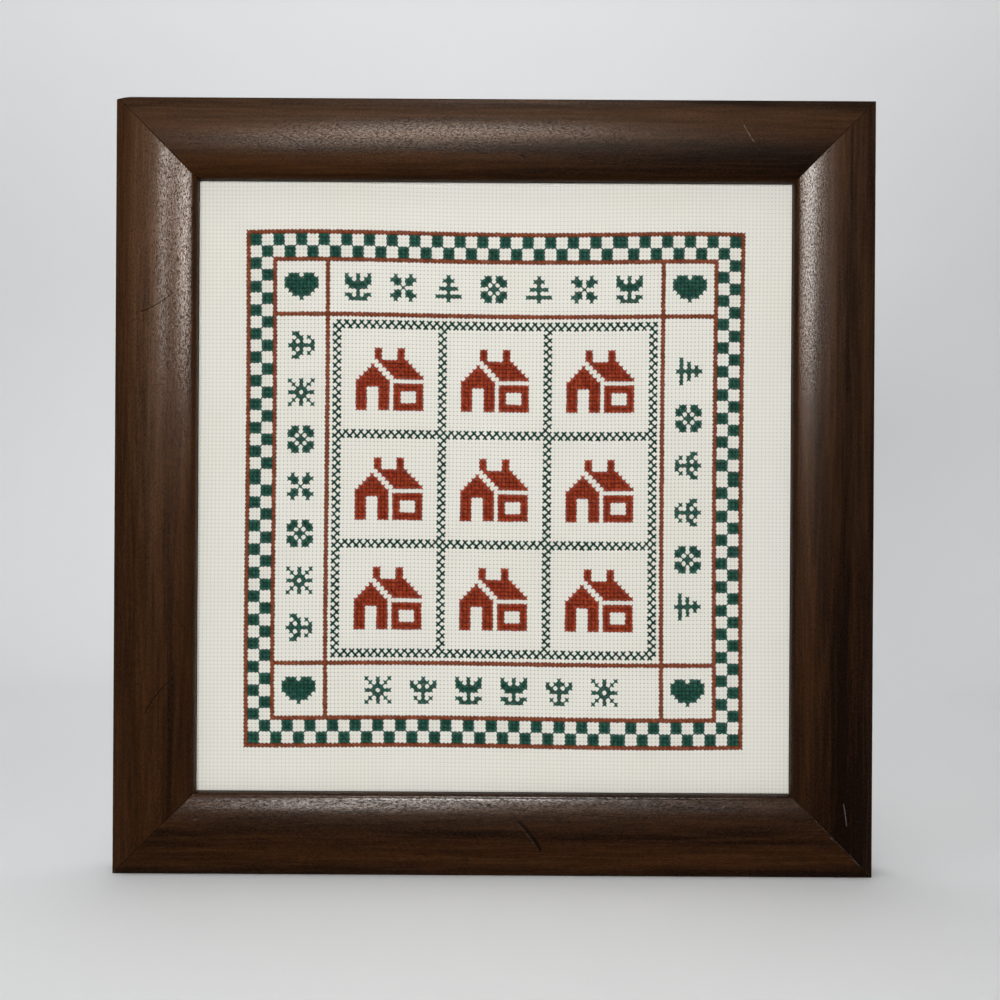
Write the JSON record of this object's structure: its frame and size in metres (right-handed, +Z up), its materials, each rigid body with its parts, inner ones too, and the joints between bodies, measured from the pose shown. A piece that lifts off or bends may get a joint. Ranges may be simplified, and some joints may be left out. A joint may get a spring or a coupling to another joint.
{
  "type": "cross stitch sampler in a wood picture frame",
  "caption": "Counted cross stitch on cream cloth, lying taut in the rabbet of a mitred, dark stained wood frame with a crowned moulding and a plain board behind.",
  "frame": {"origin": "on the ground, under the middle of the frame's width and depth", "axes": "+Z up, +Y towards the back of the frame, so the stitched face looks along -Y, and +X to the right as seen from the front"},
  "size_m": [0.354, 0.025, 0.362],
  "materials": {
    "stained_wood": "dark brown stain under a satin lacquer",
    "cream_cloth": "even block weave of cream cotton",
    "green_thread": "stranded cotton with a soft sheen",
    "rust_thread": "stranded cotton with a soft sheen",
    "grey_board": "plain uncoated fibre board"
  },
  "bodies": {
    "root": {"rail_top": "stained_wood", "rail_bottom": "stained_wood", "stile_left": "stained_wood", "stile_right": "stained_wood", "sampler_cloth": "cream_cloth", "backing_board": "grey_board"}
  },
  "joints": []
}
